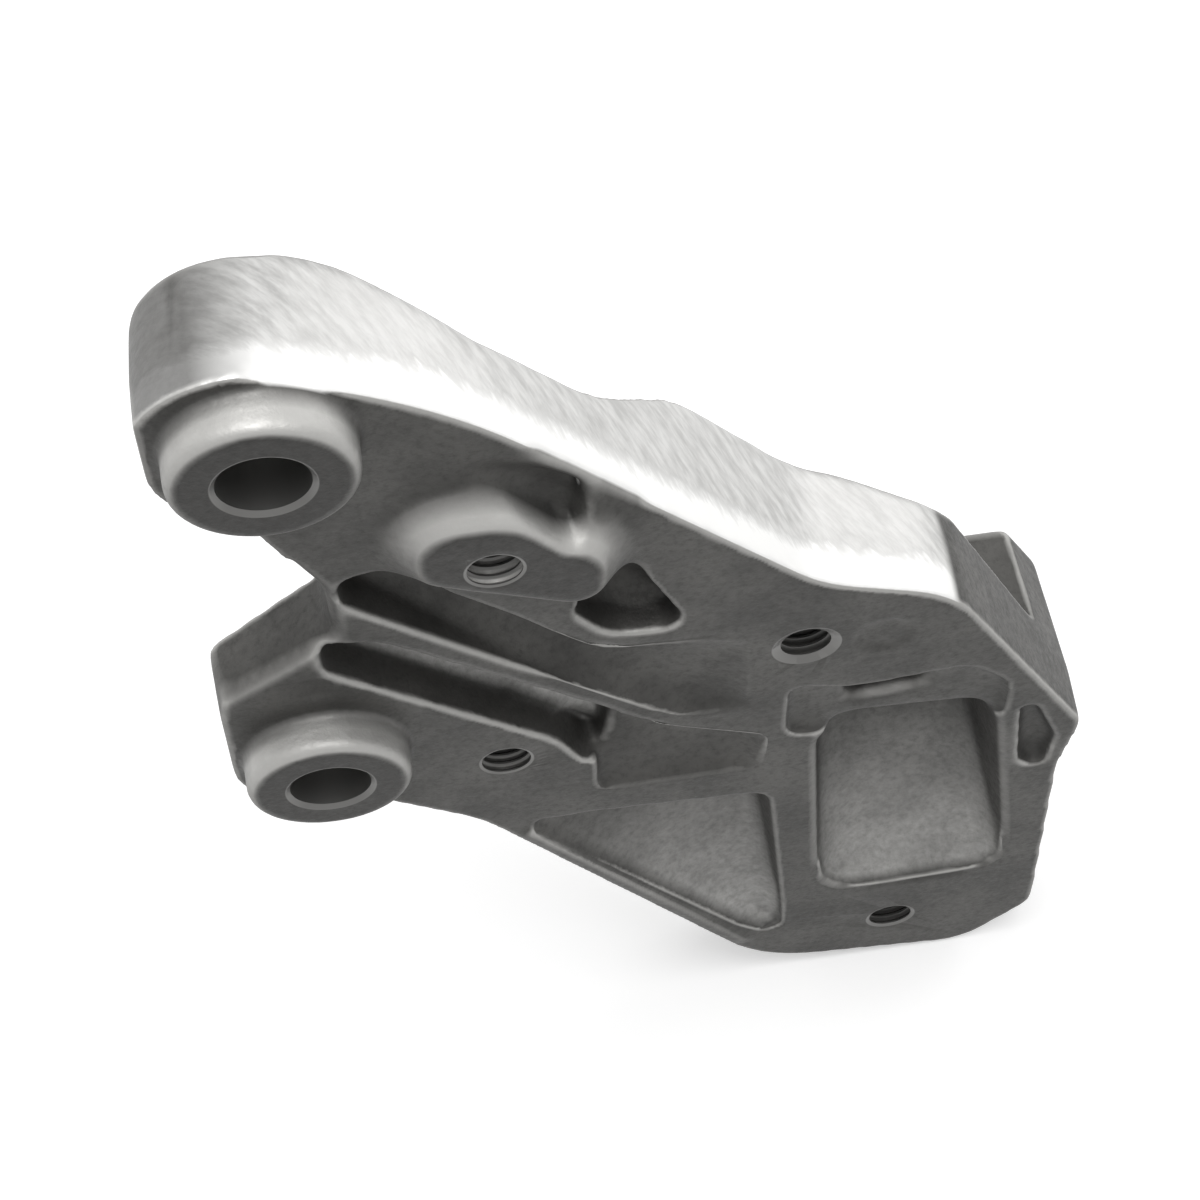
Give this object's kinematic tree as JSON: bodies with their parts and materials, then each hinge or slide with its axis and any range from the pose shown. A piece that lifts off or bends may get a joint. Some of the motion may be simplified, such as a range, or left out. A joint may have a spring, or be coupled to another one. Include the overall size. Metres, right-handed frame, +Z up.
{
  "type": "engine mounting bracket",
  "caption": "Cast aluminium engine mounting bracket: a ribbed plate with bored bolt bosses at one end, tapped holes, shaped slots and a deep pocketed foot block.",
  "frame": {"origin": "where the axis of the upper bolt hole meets the plane of the casting's front face", "axes": "+Z up along the front face, +X right along it towards the foot block, +Y into the casting; the bosses point towards -Y"},
  "size_m": [0.1189, 0.0325, 0.1816],
  "materials": {
    "cast_aluminium": "as cast, fine grain, machined pads"
  },
  "bodies": {
    "root": {"bracket_casting": "cast_aluminium"}
  },
  "joints": []
}
